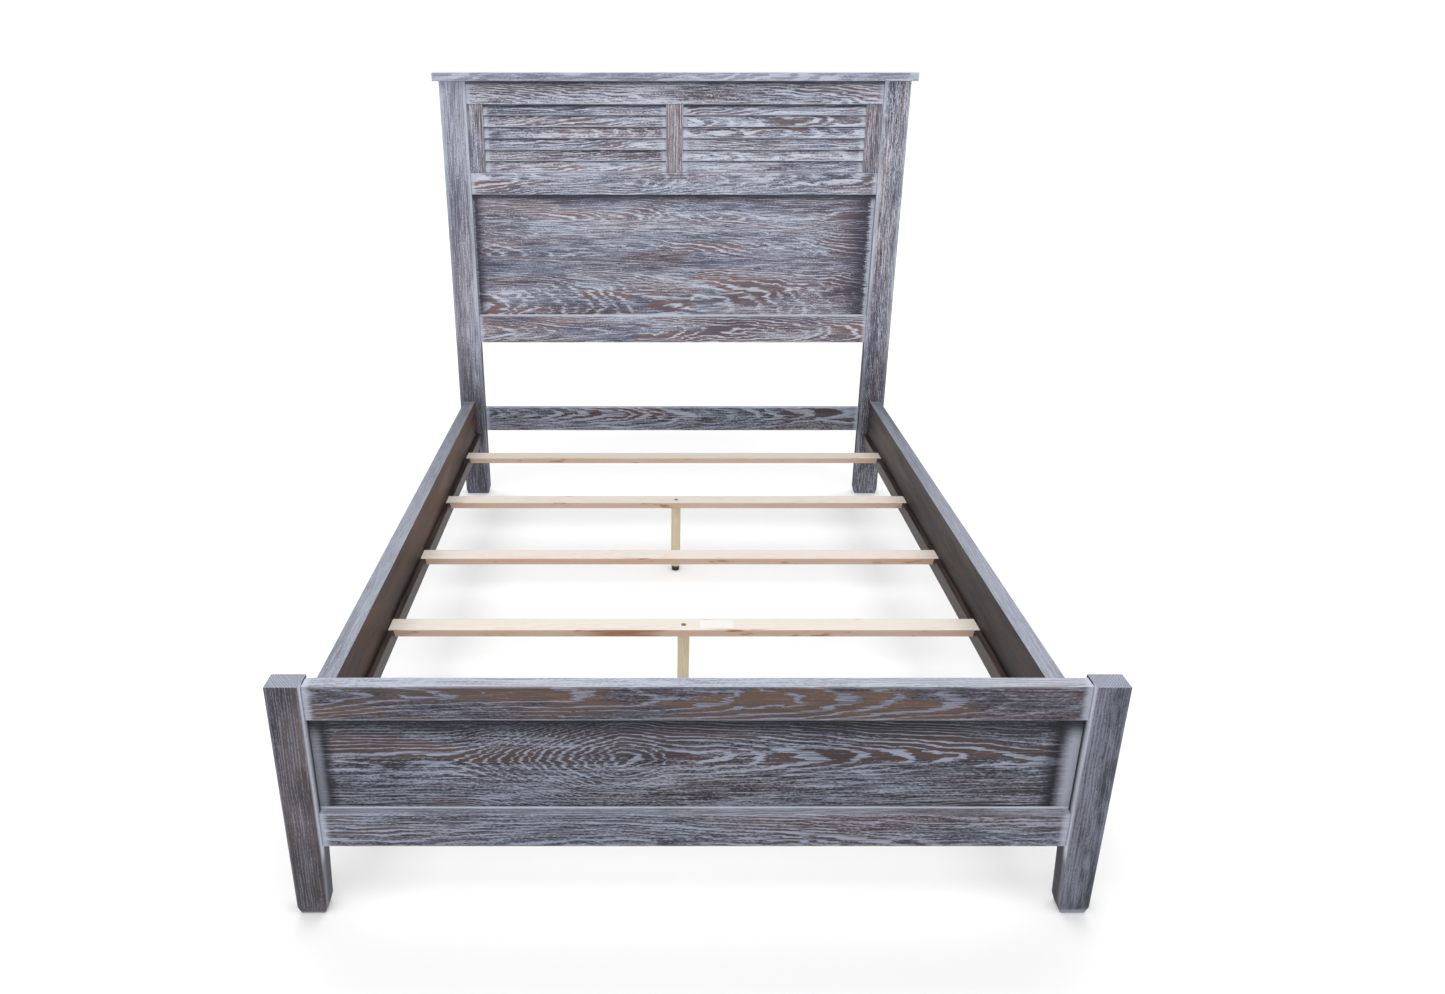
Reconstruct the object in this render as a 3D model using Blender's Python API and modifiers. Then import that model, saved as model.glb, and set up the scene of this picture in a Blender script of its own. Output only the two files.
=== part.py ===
"""Queen-size wooden bed frame: panel headboard with fixed louvers, panel footboard, bolted side
rails with ledger strips, loose slats and two turned centre legs.

Metres, +Z up, +Y towards the headboard, +X to the right seen from the foot. The origin is on the
floor, under the middle of the whole frame.
"""
import math

import bpy
import bmesh
from mathutils import Vector

# Fits and edges
GAP = 0.0003                 # clearance between touching pieces
EASE = 0.0016                # eased edge of the frame members
SMALL_EASE = 0.0008          # eased edge of slats, louvers and hardware
EASE_ANGLE = math.radians(50)
TENON_LENGTH = 0.025
TENON_THICKNESS = 0.010
TENON_SHOULDER = 0.010
ROOT = 0.005                 # how far a tenon reaches back into its own rail
PANEL_THICKNESS = 0.012
PANEL_ENTRY = 0.008          # how far a panel enters its grooves
GROOVE_SPARE = 0.0006

# Overall layout
OVERALL_LENGTH = 2.136       # foot post front to cap back
RAIL_LENGTH = 2.040          # between the posts, for a mattress 2.032 long
POST_DEPTH = 0.044
FOOT_Y = -OVERALL_LENGTH / 2
HEAD_Y = FOOT_Y + POST_DEPTH + RAIL_LENGTH
HEAD_BACK_Y = HEAD_Y + POST_DEPTH

# Headboard
HEAD_POST_INNER = 0.738
HEAD_POST_OUTER = 0.830
HEAD_POST_HEIGHT = 1.586
HEAD_RAIL_RECESS = 0.006
HEAD_RAIL_THICKNESS = 0.030
HEAD_TOP_RAIL_Z = 1.5085     # underside of the top rail, whose top is at the post tops
HEAD_MID_RAIL_Z = (1.1933, 1.2706)
HEAD_BOTTOM_RAIL_Z = (0.6338, 0.7366)
HEAD_PANEL_RECESS = 0.014    # behind the rail fronts
STRETCHER_Z = (0.2662, 0.3629)
STRETCHER_THICKNESS = 0.019
CAP_THICKNESS = 0.029
CAP_SIDE_OVERHANG = 0.018
CAP_FRONT_OVERHANG = 0.026
CAP_BACK_OVERHANG = OVERALL_LENGTH / 2 - HEAD_BACK_Y
CAP_EASE = 0.003
CAP_TENON_HEIGHT = 0.010
CAP_TENON = (0.040, 0.020)   # width and depth of the stub on each post top

# Louvered band
STILE_WIDTH = 0.056
CENTER_STILE_WIDTH = 0.060
STILE_RECESS = 0.002         # behind the rail fronts
STILE_THICKNESS = 0.026
STILE_TENON_LENGTH = 0.015
LOUVER_COUNT = 6
LOUVER_PITCH = 0.0396
LOUVER_OVERLAP = 0.006
LOUVER_THICKNESS = 0.0065
LOUVER_TILT = math.radians(15.0)
LOUVER_ENTRY = 0.006         # how far each end is housed in its stile
LOUVER_SETBACK = 0.0025      # louver front edge behind the stile front
LOUVER_BOTTOM_CLEARANCE = 0.0025

# Footboard
FOOT_POST_INNER = 0.748
FOOT_POST_OUTER = 0.816
FOOT_POST_HEIGHT = 0.556
FOOT_RAIL_RECESS = 0.006
FOOT_RAIL_THICKNESS = 0.030
FOOT_TOP_RAIL_Z = (0.477, 0.5535)
FOOT_BOTTOM_RAIL_Z = (0.173, 0.254)
FOOT_PANEL_RECESS = 0.0165
POST_TAPER = 0.008           # inner side, from the bottom rail down to the floor
POST_CHAMFER_HEIGHT = 0.020
POST_CHAMFER = 0.005

# Side rails and ledgers
RAIL_INNER = 0.7725
RAIL_OUTER = 0.8155
RAIL_Z = (0.216, 0.396)
LEDGER_THICKNESS = 0.017
LEDGER_Z = (0.222, 0.2645)
LEDGER_END_GAP = 0.010

# Slats, legs and glides
SLAT_WIDTH = 0.056
SLAT_THICKNESS = 0.019
SLAT_TONGUE = 0.0095
SLAT_END_CLEARANCE = 0.0015
SLAT_COUNT = 5
SLAT_PITCH = 0.388
SLAT_SHIFT = 0.008           # middle slat, towards the head from the rails' middle
LEG_SLATS = (2, 4)
DECK_Z = LEDGER_Z[1]
LEG_RADIUS = 0.0155
LEG_BOTTOM_ROUND = 0.004
GLIDE_RADIUS = 0.013
GLIDE_HEIGHT = 0.015
GLIDE_ROUND = 0.003
GLIDE_GAP = 0.002            # stem showing between glide and leg
STEM_RADIUS = 0.004
STEM_LENGTH = 0.024
STEM_BORE_DEPTH = 0.030
BOLT_RADIUS = 0.003
BOLT_HEAD_RADIUS = 0.0065
BOLT_HEAD_HEIGHT = 0.0023
BOLT_REACH = 0.030           # into the leg
BOLT_CLEARANCE = 0.0004

# Rail fastenings
FASTENER_X = 0.794
FASTENER_Z = (0.283, 0.345)
STUD_RADIUS = 0.004
STUD_IN_POST = 0.028
STUD_PAST_NUT = 0.005
POCKET_RADIUS = 0.012
POCKET_DEPTH = 0.032
POCKET_FROM_END = 0.045
NUT_LENGTH = 0.020
ROUND_SIDES = 24

FINISHES = {
    "cerused_oak": ((0.20, 0.20, 0.23, 1.0), 0.55, 0.0),
    "brown_stain": ((0.075, 0.060, 0.055, 1.0), 0.55, 0.0),
    "pine": ((0.66, 0.52, 0.41, 1.0), 0.65, 0.0),
    "dowel_wood": ((0.64, 0.53, 0.33, 1.0), 0.55, 0.0),
    "black_plastic": ((0.015, 0.015, 0.016, 1.0), 0.45, 0.0),
    "steel": ((0.55, 0.56, 0.58, 1.0), 0.35, 1.0),
}


def clear_scene():
    for obj in list(bpy.data.objects):
        bpy.data.objects.remove(obj, do_unlink=True)


def make_collection(name):
    collection = bpy.data.collections.new(name)
    bpy.context.scene.collection.children.link(collection)
    return collection


def finish_material(name, finish):
    color, roughness, metallic = FINISHES[finish]
    material = bpy.data.materials.new(name)
    material.use_nodes = True
    shader = material.node_tree.nodes["Principled BSDF"]
    shader.inputs["Base Color"].default_value = color
    shader.inputs["Roughness"].default_value = roughness
    shader.inputs["Metallic"].default_value = metallic
    material.diffuse_color = color
    return material


def add_part(name, mesh, finish, location):
    mesh.materials.append(finish_material(name, finish))
    obj = bpy.data.objects.new(name, mesh)
    obj.location = location
    PARTS.objects.link(obj)
    return obj


def add_cutter(name, mesh, location):
    obj = bpy.data.objects.new(name, mesh)
    obj.location = location
    obj.hide_render = True
    obj.display_type = "WIRE"
    CUTTERS.objects.link(obj)
    return obj


def box_mesh(name, size):
    """A box of the given size, centred on its own origin."""
    mesh = bpy.data.meshes.new(name)
    shape = bmesh.new()
    bmesh.ops.create_cube(shape, size=1.0)
    bmesh.ops.scale(shape, vec=size, verts=shape.verts)
    shape.to_mesh(mesh)
    shape.free()
    return mesh


def cylinder_mesh(name, radius, length, axis):
    """A cylinder along X, Y or Z, centred on its own origin."""
    mesh = bpy.data.meshes.new(name)
    shape = bmesh.new()
    bmesh.ops.create_cone(shape, cap_ends=True, segments=ROUND_SIDES, radius1=radius,
                          radius2=radius, depth=length)
    turn = Vector((0, 0, 1)).rotation_difference(axis).to_matrix()
    bmesh.ops.rotate(shape, cent=(0, 0, 0), matrix=turn, verts=shape.verts)
    shape.to_mesh(mesh)
    shape.free()
    return mesh


def span(low, high):
    low = Vector(low)
    high = Vector(high)
    return high - low, (low + high) / 2


def ease_edges(obj, width, segments=2):
    bevel = obj.modifiers.new("eased_edges", "BEVEL")
    bevel.width = width
    bevel.segments = segments
    bevel.limit_method = "ANGLE"
    bevel.angle_limit = EASE_ANGLE


def board(name, low, high, finish="cerused_oak", ease=EASE, segments=2):
    size, middle = span(low, high)
    obj = add_part(name, box_mesh(name, size), finish, middle)
    ease_edges(obj, ease, segments)
    return obj


def combine(obj, tool, operation):
    boolean = obj.modifiers.new(tool.name, "BOOLEAN")
    boolean.operation = operation
    boolean.solver = "EXACT"
    boolean.object = tool


def cut_box(obj, name, low, high):
    size, middle = span(low, high)
    combine(obj, add_cutter(name, box_mesh(name, size), middle), "DIFFERENCE")


def cut_cylinder(obj, name, radius, start, end):
    start = Vector(start)
    end = Vector(end)
    along = end - start
    mesh = cylinder_mesh(name, radius, along.length, along.normalized())
    combine(obj, add_cutter(name, mesh, (start + end) / 2), "DIFFERENCE")


def tenon(rail, receiver, name, low, high):
    """Joins a tenon to the rail and cuts its mortise, a clearance larger, in the receiver."""
    size, middle = span(low, high)
    combine(rail, add_cutter(name + "_tenon", box_mesh(name, size), middle), "UNION")
    grown = Vector((GAP, GAP, GAP))
    cut_box(receiver, name + "_mortise", Vector(low) - grown, Vector(high) + grown)


def mirrored(side, low_x, high_x):
    """The X range of a piece on the left (side -1) or the right (side +1)."""
    edges = sorted((side * low_x, side * high_x))
    return edges[0], edges[1]


def side_name(side):
    return "left" if side < 0 else "right"


def end_tenons(rail, posts, name, inner, y_middle, z_range):
    """A tenon at each end of a cross rail, centred on y_middle."""
    for side, post in posts.items():
        x_low, x_high = mirrored(side, inner - ROOT, inner + TENON_LENGTH)
        low = (x_low, y_middle - TENON_THICKNESS / 2, z_range[0] + TENON_SHOULDER)
        high = (x_high, y_middle + TENON_THICKNESS / 2, z_range[1] - TENON_SHOULDER)
        tenon(rail, post, f"{name}_{side_name(side)}", low, high)


def post(name, side, inner, outer, front_y, height, taper_top, taper):
    """A post with chamfered foot, and an inner side that tapers below taper_top."""
    x_low, x_high = mirrored(side, inner, outer)
    size, middle = span((x_low, front_y, 0.0), (x_high, front_y + POST_DEPTH, height))
    obj = add_part(name, box_mesh(name, size), "cerused_oak", middle)
    shape = bmesh.new()
    shape.from_mesh(obj.data)
    for level in (taper_top, POST_CHAMFER_HEIGHT):
        geometry = list(shape.verts) + list(shape.edges) + list(shape.faces)
        bmesh.ops.bisect_plane(shape, geom=geometry, plane_co=(0, 0, level - middle.z),
                               plane_no=(0, 0, 1))
    for vertex in shape.verts:
        z = vertex.co.z + middle.z
        if z < taper_top and vertex.co.x * side < 0:
            vertex.co.x += side * taper * (taper_top - z) / taper_top
        if z < POST_CHAMFER_HEIGHT / 2:
            vertex.co.x -= math.copysign(POST_CHAMFER, vertex.co.x)
            vertex.co.y -= math.copysign(POST_CHAMFER, vertex.co.y)
    shape.to_mesh(obj.data)
    shape.free()
    ease_edges(obj, EASE)
    return obj


def turned(name, profile, finish, location, axis="Z"):
    """A turned piece: profile is (radius, height) pairs from its top, down its outer side."""
    mesh = bpy.data.meshes.new(name)
    shape = bmesh.new()
    points = [shape.verts.new((radius, 0.0, height)) for radius, height in profile]
    for upper, lower in zip(points, points[1:]):
        shape.edges.new((upper, lower))
    shape.to_mesh(mesh)
    shape.free()
    obj = add_part(name, mesh, finish, location)
    if axis == "Y":
        obj.rotation_euler.x = -math.pi / 2
    screw = obj.modifiers.new("turning", "SCREW")
    screw.axis = "Z"
    screw.angle = math.tau
    screw.steps = ROUND_SIDES
    screw.render_steps = ROUND_SIDES
    screw.use_merge_vertices = True
    screw.merge_threshold = 0.00001
    screw.use_smooth_shade = True
    return obj


def rounded_corner(center_radius, center_height, round_radius, steps=4):
    """Points of a quarter round at a lower outer corner, from its side to its underside."""
    points = []
    for step in range(steps + 1):
        angle = math.pi / 2 * step / steps
        radius = center_radius + round_radius * math.cos(angle)
        points.append((radius, center_height - round_radius * math.sin(angle)))
    return points


def panel_groove(obj, name, panel_low, panel_high):
    """Cuts the room that a panel needs out of a piece that holds its edge."""
    grown = Vector((GROOVE_SPARE, GAP, GROOVE_SPARE))
    cut_box(obj, name, Vector(panel_low) - grown, Vector(panel_high) + grown)


def make_headboard():
    rail_front = HEAD_Y + HEAD_RAIL_RECESS
    rail_back = rail_front + HEAD_RAIL_THICKNESS
    rail_middle = (rail_front + rail_back) / 2
    half = HEAD_POST_INNER - GAP
    posts = {}
    for side in (-1, 1):
        name = "head_post_" + side_name(side)
        posts[side] = post(name, side, HEAD_POST_INNER, HEAD_POST_OUTER, HEAD_Y,
                           HEAD_POST_HEIGHT, RAIL_Z[0], 0.0)

    top_z = (HEAD_TOP_RAIL_Z, HEAD_POST_HEIGHT)
    rails = {}
    for name, z_range in (("head_top_rail", top_z), ("head_mid_rail", HEAD_MID_RAIL_Z),
                          ("head_bottom_rail", HEAD_BOTTOM_RAIL_Z)):
        rails[name] = board(name, (-half, rail_front, z_range[0]), (half, rail_back, z_range[1]))
        end_tenons(rails[name], posts, name, HEAD_POST_INNER, rail_middle, z_range)

    stretcher_front = HEAD_BACK_Y - STRETCHER_THICKNESS - 0.001
    stretcher = board("head_stretcher", (-half, stretcher_front, STRETCHER_Z[0]),
                      (half, stretcher_front + STRETCHER_THICKNESS, STRETCHER_Z[1]))
    end_tenons(stretcher, posts, "head_stretcher", HEAD_POST_INNER,
               stretcher_front + STRETCHER_THICKNESS / 2, STRETCHER_Z)

    panel_front = rail_front + HEAD_PANEL_RECESS
    panel_half = HEAD_POST_INNER + PANEL_ENTRY
    low = (-panel_half, panel_front, HEAD_BOTTOM_RAIL_Z[1] - PANEL_ENTRY)
    high = (panel_half, panel_front + PANEL_THICKNESS, HEAD_MID_RAIL_Z[0] + PANEL_ENTRY)
    board("head_panel", low, high, ease=SMALL_EASE, segments=1)
    for holder in (posts[-1], posts[1], rails["head_mid_rail"], rails["head_bottom_rail"]):
        panel_groove(holder, holder.name + "_groove", low, high)

    make_louvers(rails, rail_front)
    make_cap(posts)
    return posts


def make_cap(posts):
    bottom = HEAD_POST_HEIGHT + GAP
    half = HEAD_POST_OUTER + CAP_SIDE_OVERHANG
    cap = board("head_cap", (-half, HEAD_Y - CAP_FRONT_OVERHANG, bottom),
                (half, HEAD_BACK_Y + CAP_BACK_OVERHANG, bottom + CAP_THICKNESS),
                ease=CAP_EASE, segments=3)
    middle_x = (HEAD_POST_INNER + HEAD_POST_OUTER) / 2
    middle_y = HEAD_Y + POST_DEPTH / 2
    width, depth = CAP_TENON
    for side, head_post in posts.items():
        x_low, x_high = mirrored(side, middle_x - width / 2, middle_x + width / 2)
        low = (x_low, middle_y - depth / 2, HEAD_POST_HEIGHT - 2 * ROOT)
        high = (x_high, middle_y + depth / 2, HEAD_POST_HEIGHT + CAP_TENON_HEIGHT)
        tenon(head_post, cap, "cap_" + side_name(side), low, high)


def make_louvers(rails, rail_front):
    """Three stiles between the top and middle rails, and the fixed louvers housed in them."""
    bottom = HEAD_MID_RAIL_Z[1]
    top = HEAD_TOP_RAIL_Z
    front = rail_front + STILE_RECESS
    edge = HEAD_POST_INNER - GAP
    ranges = {
        "left": (-edge, -edge + STILE_WIDTH),
        "center": (-CENTER_STILE_WIDTH / 2, CENTER_STILE_WIDTH / 2),
        "right": (edge - STILE_WIDTH, edge),
    }
    stiles = {}
    for place, (x_low, x_high) in ranges.items():
        name = "louver_stile_" + place
        stiles[place] = board(name, (x_low, front, bottom + GAP),
                              (x_high, front + STILE_THICKNESS, top - GAP))
        y_low = rail_front + HEAD_RAIL_THICKNESS / 2 - TENON_THICKNESS / 2
        y_high = y_low + TENON_THICKNESS
        tenon(stiles[place], rails["head_mid_rail"], name + "_foot",
              (x_low + TENON_SHOULDER, y_low, bottom - STILE_TENON_LENGTH),
              (x_high - TENON_SHOULDER, y_high, bottom + ROOT))
        tenon(stiles[place], rails["head_top_rail"], name + "_head",
              (x_low + TENON_SHOULDER, y_low, top - ROOT),
              (x_high - TENON_SHOULDER, y_high, top + STILE_TENON_LENGTH))

    bays = {
        "left": (ranges["left"][1], ranges["center"][0]),
        "right": (ranges["center"][1], ranges["right"][0]),
    }
    for bay, (x_low, x_high) in bays.items():
        for index in range(LOUVER_COUNT):
            name = f"louver_{bay}_{index + 1}"
            size, middle = louver_place(x_low, x_high, front, bottom, top, index)
            louver = add_part(name, box_mesh(name, size), "cerused_oak", middle)
            louver.rotation_euler.x = -LOUVER_TILT
            ease_edges(louver, SMALL_EASE, 1)
            for place in (bay, "center"):
                housing = name + "_housing_" + place
                room = size + Vector((2 * GAP, 2 * GAP, 2 * GAP))
                tool = add_cutter(housing, box_mesh(housing, room), middle)
                tool.rotation_euler.x = -LOUVER_TILT
                combine(stiles[place], tool, "DIFFERENCE")


def louver_place(x_low, x_high, front, bottom, top, index):
    """Size and middle of a louver that leans back, with its lower front edge proud."""
    edge_y = front + LOUVER_SETBACK
    edge_z = bottom + LOUVER_BOTTOM_CLEARANCE + index * LOUVER_PITCH
    rise = min(LOUVER_PITCH + LOUVER_OVERLAP, top - 2 * GAP - edge_z)
    height = rise / math.cos(LOUVER_TILT)
    upward = Vector((0, math.sin(LOUVER_TILT), math.cos(LOUVER_TILT)))
    inward = Vector((0, math.cos(LOUVER_TILT), -math.sin(LOUVER_TILT)))
    length = x_high - x_low + 2 * LOUVER_ENTRY
    middle = Vector(((x_low + x_high) / 2, edge_y, edge_z))
    middle += upward * height / 2 + inward * LOUVER_THICKNESS / 2
    return Vector((length, LOUVER_THICKNESS, height)), middle


def make_footboard():
    rail_front = FOOT_Y + FOOT_RAIL_RECESS
    rail_back = rail_front + FOOT_RAIL_THICKNESS
    half = FOOT_POST_INNER - GAP
    posts = {}
    for side in (-1, 1):
        name = "foot_post_" + side_name(side)
        posts[side] = post(name, side, FOOT_POST_INNER, FOOT_POST_OUTER, FOOT_Y,
                           FOOT_POST_HEIGHT, FOOT_BOTTOM_RAIL_Z[0], POST_TAPER)
    holders = [posts[-1], posts[1]]
    for name, z_range in (("foot_top_rail", FOOT_TOP_RAIL_Z),
                          ("foot_bottom_rail", FOOT_BOTTOM_RAIL_Z)):
        rail = board(name, (-half, rail_front, z_range[0]), (half, rail_back, z_range[1]))
        end_tenons(rail, posts, name, FOOT_POST_INNER, (rail_front + rail_back) / 2, z_range)
        holders.append(rail)

    panel_front = rail_front + FOOT_PANEL_RECESS
    panel_half = FOOT_POST_INNER + PANEL_ENTRY
    low = (-panel_half, panel_front, FOOT_BOTTOM_RAIL_Z[1] - PANEL_ENTRY)
    high = (panel_half, panel_front + PANEL_THICKNESS, FOOT_TOP_RAIL_Z[0] + PANEL_ENTRY)
    board("foot_panel", low, high, ease=SMALL_EASE, segments=1)
    for holder in holders:
        panel_groove(holder, holder.name + "_groove", low, high)
    return posts


def slat_middle_y(number):
    """Slats count from the headboard: slat 1 is nearest to it."""
    middle = (FOOT_Y + POST_DEPTH + HEAD_Y) / 2 + SLAT_SHIFT
    return middle + ((SLAT_COUNT + 1) / 2 - number) * SLAT_PITCH


def make_sides(head_posts, foot_posts):
    rail_start = FOOT_Y + POST_DEPTH + GAP
    rail_end = HEAD_Y - GAP
    for side in (-1, 1):
        place = side_name(side)
        x_low, x_high = mirrored(side, RAIL_INNER, RAIL_OUTER)
        rail = board("side_rail_" + place, (x_low, rail_start, RAIL_Z[0]),
                     (x_high, rail_end, RAIL_Z[1]))
        for z in FASTENER_Z:
            height = "lower" if z == FASTENER_Z[0] else "upper"
            fasten(rail, foot_posts[side], f"foot_{place}_{height}", side, z, rail_start, 1)
            fasten(rail, head_posts[side], f"head_{place}_{height}", side, z, rail_end, -1)

        inner = RAIL_INNER - GAP - LEDGER_THICKNESS
        x_low, x_high = mirrored(side, inner, RAIL_INNER - GAP)
        ledger = board("ledger_" + place, (x_low, rail_start + LEDGER_END_GAP, LEDGER_Z[0]),
                       (x_high, rail_end - LEDGER_END_GAP, LEDGER_Z[1]), "brown_stain")
        for number in range(1, SLAT_COUNT + 1):
            middle = slat_middle_y(number)
            half = SLAT_WIDTH / 2 + GAP
            cut_box(ledger, f"ledger_{place}_notch_{number}",
                    (x_low - ROOT, middle - half, DECK_Z - SLAT_TONGUE - GAP),
                    (x_high + ROOT, middle + half, DECK_Z + ROOT))


def fasten(rail, post_piece, label, side, z, joint_y, inward):
    """A stud fixed in the post, and a half-moon nut in a round pocket of the rail.

    joint_y is the rail's end, and inward is +1 where the rail runs towards +Y from it.
    """
    x = side * FASTENER_X
    pocket_y = joint_y + inward * POCKET_FROM_END
    tip_y = pocket_y + inward * STUD_PAST_NUT
    post_y = joint_y - inward * STUD_IN_POST
    bore = STUD_RADIUS + GAP
    cut_cylinder(rail, "pocket_" + label, POCKET_RADIUS, (side * (RAIL_INNER - ROOT), pocket_y, z),
                 (side * (RAIL_INNER + POCKET_DEPTH), pocket_y, z))
    cut_cylinder(rail, "rail_bore_" + label, bore, (x, joint_y - inward * ROOT, z),
                 (x, pocket_y, z))
    cut_cylinder(post_piece, "post_bore_" + label, bore, (x, post_y - inward * GAP, z),
                 (x, joint_y + inward * ROOT, z))

    half_length = abs(tip_y - post_y) / 2
    tip = STUD_RADIUS - SMALL_EASE
    profile = [(0.0, half_length), (tip, half_length), (STUD_RADIUS, half_length - SMALL_EASE),
               (STUD_RADIUS, SMALL_EASE - half_length), (tip, -half_length), (0.0, -half_length)]
    turned("rail_stud_" + label, profile, "steel", (x, (tip_y + post_y) / 2, z), axis="Y")

    nut_name = "rail_nut_" + label
    nut_mesh = cylinder_mesh(nut_name, POCKET_RADIUS - GAP, NUT_LENGTH, Vector((1, 0, 0)))
    nut = add_part(nut_name, nut_mesh, "steel", (x, pocket_y, z))
    flat_near = pocket_y - inward * SMALL_EASE
    flat_far = pocket_y + inward * 2 * POCKET_RADIUS
    y_low, y_high = sorted((flat_near, flat_far))
    cut_box(nut, nut_name + "_flat", (x - NUT_LENGTH, y_low, z - 2 * POCKET_RADIUS),
            (x + NUT_LENGTH, y_high, z + 2 * POCKET_RADIUS))
    cut_cylinder(nut, nut_name + "_bore", bore, (x, pocket_y - 2 * POCKET_RADIUS, z),
                 (x, pocket_y + 2 * POCKET_RADIUS, z))


def make_slats():
    tip = RAIL_INNER - SLAT_END_CLEARANCE
    shoulder = RAIL_INNER - GAP - LEDGER_THICKNESS - SLAT_END_CLEARANCE
    for number in range(1, SLAT_COUNT + 1):
        middle = slat_middle_y(number)
        half = SLAT_WIDTH / 2
        name = f"slat_{number}"
        slat = board(name, (-tip, middle - half, DECK_Z - SLAT_THICKNESS),
                     (tip, middle + half, DECK_Z), "pine", SMALL_EASE)
        for side in (-1, 1):
            x_low, x_high = mirrored(side, shoulder, tip + ROOT)
            cut_box(slat, f"{name}_rabbet_{side_name(side)}",
                    (x_low, middle - SLAT_WIDTH, DECK_Z - SLAT_THICKNESS - ROOT),
                    (x_high, middle + SLAT_WIDTH, DECK_Z - SLAT_TONGUE))
        if number in LEG_SLATS:
            make_leg(slat, number, middle)


def make_leg(slat, number, y):
    """The turned leg under a slat, its bolt from above and its screw-in glide below."""
    slat_bottom = DECK_Z - SLAT_THICKNESS
    head_floor = DECK_Z - BOLT_HEAD_HEIGHT
    cut_cylinder(slat, f"slat_{number}_bore", BOLT_RADIUS + BOLT_CLEARANCE,
                 (0, y, slat_bottom - ROOT), (0, y, DECK_Z + ROOT))
    cut_cylinder(slat, f"slat_{number}_counterbore", BOLT_HEAD_RADIUS + GAP,
                 (0, y, head_floor - GAP), (0, y, DECK_Z + ROOT))

    bolt_tip = slat_bottom - GAP - BOLT_REACH
    edge = BOLT_HEAD_RADIUS - SMALL_EASE
    turned(f"leg_bolt_{number}",
           [(0.0, DECK_Z), (edge, DECK_Z), (BOLT_HEAD_RADIUS, DECK_Z - SMALL_EASE),
            (BOLT_HEAD_RADIUS, head_floor), (BOLT_RADIUS, head_floor),
            (BOLT_RADIUS, bolt_tip + SMALL_EASE), (BOLT_RADIUS - SMALL_EASE, bolt_tip),
            (0.0, bolt_tip)], "steel", (0, y, 0))

    top = slat_bottom - GAP
    bottom = GLIDE_HEIGHT + GLIDE_GAP
    bolt_bore = BOLT_RADIUS + BOLT_CLEARANCE
    stem_bore = STEM_RADIUS + BOLT_CLEARANCE
    bore_floor = bolt_tip - BOLT_HEAD_HEIGHT
    leg = [(0.0, bore_floor), (bolt_bore, bore_floor), (bolt_bore, top),
           (LEG_RADIUS - SMALL_EASE, top), (LEG_RADIUS, top - SMALL_EASE)]
    leg += rounded_corner(LEG_RADIUS - LEG_BOTTOM_ROUND, bottom + LEG_BOTTOM_ROUND,
                          LEG_BOTTOM_ROUND)
    leg += [(stem_bore, bottom), (stem_bore, bottom + STEM_BORE_DEPTH),
            (0.0, bottom + STEM_BORE_DEPTH)]
    turned(f"support_leg_{number}", leg, "dowel_wood", (0, y, 0))

    stem_top = GLIDE_HEIGHT + STEM_LENGTH
    glide = [(0.0, stem_top), (STEM_RADIUS - SMALL_EASE, stem_top),
             (STEM_RADIUS, stem_top - SMALL_EASE), (STEM_RADIUS, GLIDE_HEIGHT),
             (GLIDE_RADIUS - SMALL_EASE, GLIDE_HEIGHT), (GLIDE_RADIUS, GLIDE_HEIGHT - SMALL_EASE)]
    glide += rounded_corner(GLIDE_RADIUS - GLIDE_ROUND, GLIDE_ROUND, GLIDE_ROUND)
    glide += [(0.0, 0.0)]
    turned(f"glide_{number}", glide, "black_plastic", (0, y, 0))


clear_scene()
PARTS = make_collection("bed_frame")
CUTTERS = make_collection("cutters")
make_sides(make_headboard(), make_footboard())
make_slats()
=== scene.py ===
"""Looks of the wooden bed frame: brushed and whitewashed oak, brown-stained ledgers, pine slats.

Every board gets its own solid-wood material. Growth rings are cylinders around a pith line that
wanders past the board, so faces, edges and end grain of one board agree with each other.
"""

import math
import random
from dataclasses import dataclass

import bpy
import bmesh
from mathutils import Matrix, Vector


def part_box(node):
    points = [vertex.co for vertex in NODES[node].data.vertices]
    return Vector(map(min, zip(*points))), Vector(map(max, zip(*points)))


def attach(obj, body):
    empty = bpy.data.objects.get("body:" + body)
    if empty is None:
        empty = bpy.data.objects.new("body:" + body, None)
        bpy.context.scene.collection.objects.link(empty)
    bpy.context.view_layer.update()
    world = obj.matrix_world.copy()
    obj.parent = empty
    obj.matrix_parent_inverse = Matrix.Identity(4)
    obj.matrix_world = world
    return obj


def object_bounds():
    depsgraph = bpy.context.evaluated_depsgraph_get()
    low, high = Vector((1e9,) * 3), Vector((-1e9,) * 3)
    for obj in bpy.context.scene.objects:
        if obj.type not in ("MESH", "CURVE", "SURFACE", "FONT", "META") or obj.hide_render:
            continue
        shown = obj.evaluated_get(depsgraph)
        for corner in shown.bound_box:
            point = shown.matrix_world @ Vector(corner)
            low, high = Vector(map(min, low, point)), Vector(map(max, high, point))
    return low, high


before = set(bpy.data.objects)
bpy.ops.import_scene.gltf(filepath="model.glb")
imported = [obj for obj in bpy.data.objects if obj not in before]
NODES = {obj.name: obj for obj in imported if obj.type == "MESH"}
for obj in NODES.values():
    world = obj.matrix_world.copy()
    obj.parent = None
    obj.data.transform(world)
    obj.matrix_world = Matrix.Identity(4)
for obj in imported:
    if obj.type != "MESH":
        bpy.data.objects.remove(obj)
CAD_LOW, CAD_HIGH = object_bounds()
DRAW = random.Random(20)


def paint(red, green, blue):
    """A colour given as it looks, from 0 to 255, turned into the renderer's linear numbers."""
    return tuple((channel / 255.0) ** 2.2 for channel in (red, green, blue)) + (1.0,)


def tinted(color, red, green, blue):
    """A linear colour with each channel scaled."""
    return color[0] * red, color[1] * green, color[2] * blue, 1.0


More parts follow.
